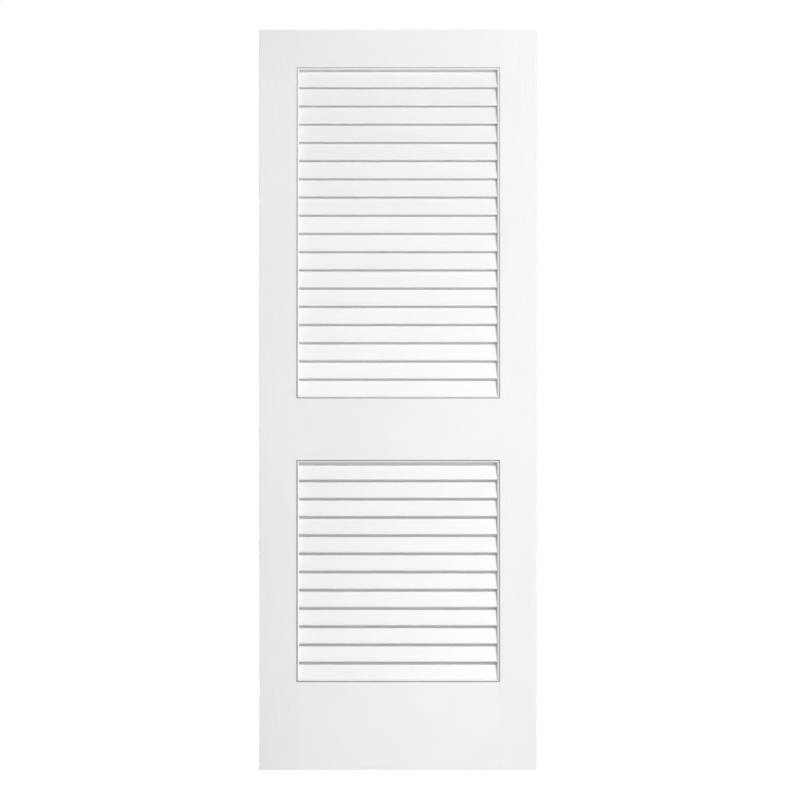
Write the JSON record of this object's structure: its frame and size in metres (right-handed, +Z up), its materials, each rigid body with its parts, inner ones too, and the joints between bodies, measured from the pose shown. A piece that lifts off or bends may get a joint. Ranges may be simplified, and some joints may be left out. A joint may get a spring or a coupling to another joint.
{
  "type": "louvered door",
  "caption": "Painted wooden interior door slab with stiles and rails around two banks of fixed, overlapping louvre slats, to hang on hinges in a frame.",
  "frame": {"origin": "foot of the hinge edge, at the middle of the door's thickness, on the flat edge face that the hinges are screwed to", "axes": "+X across the door from its hinge edge to its lock edge, +Y through its thickness from the front face to the back face, +Z up along its height"},
  "size_m": [0.762, 0.035, 2.0321],
  "materials": {
    "stile_paint": "satin white paint over softwood, faint grain running up the stile",
    "rail_paint": "satin white paint over softwood, faint grain running across the door",
    "slat_paint": "satin white paint over softwood, faint grain running along the slat"
  },
  "bodies": {
    "root": {"hinge_stile": "stile_paint", "lock_stile": "stile_paint", "top_rail": "rail_paint", "lock_rail": "rail_paint", "bottom_rail": "rail_paint", "upper_slat_01": "slat_paint", "upper_slat_02": "slat_paint", "upper_slat_03": "slat_paint", "upper_slat_04": "slat_paint", "upper_slat_05": "slat_paint", "upper_slat_06": "slat_paint", "upper_slat_07": "slat_paint", "upper_slat_08": "slat_paint", "upper_slat_09": "slat_paint", "upper_slat_10": "slat_paint", "upper_slat_11": "slat_paint", "upper_slat_12": "slat_paint", "upper_slat_13": "slat_paint", "upper_slat_14": "slat_paint", "upper_slat_15": "slat_paint", "upper_slat_16": "slat_paint", "upper_slat_17": "slat_paint", "upper_slat_18": "slat_paint", "lower_slat_01": "slat_paint", "lower_slat_02": "slat_paint", "lower_slat_03": "slat_paint", "lower_slat_04": "slat_paint", "lower_slat_05": "slat_paint", "lower_slat_06": "slat_paint", "lower_slat_07": "slat_paint", "lower_slat_08": "slat_paint", "lower_slat_09": "slat_paint", "lower_slat_10": "slat_paint", "lower_slat_11": "slat_paint", "lower_slat_12": "slat_paint"}
  },
  "joints": []
}
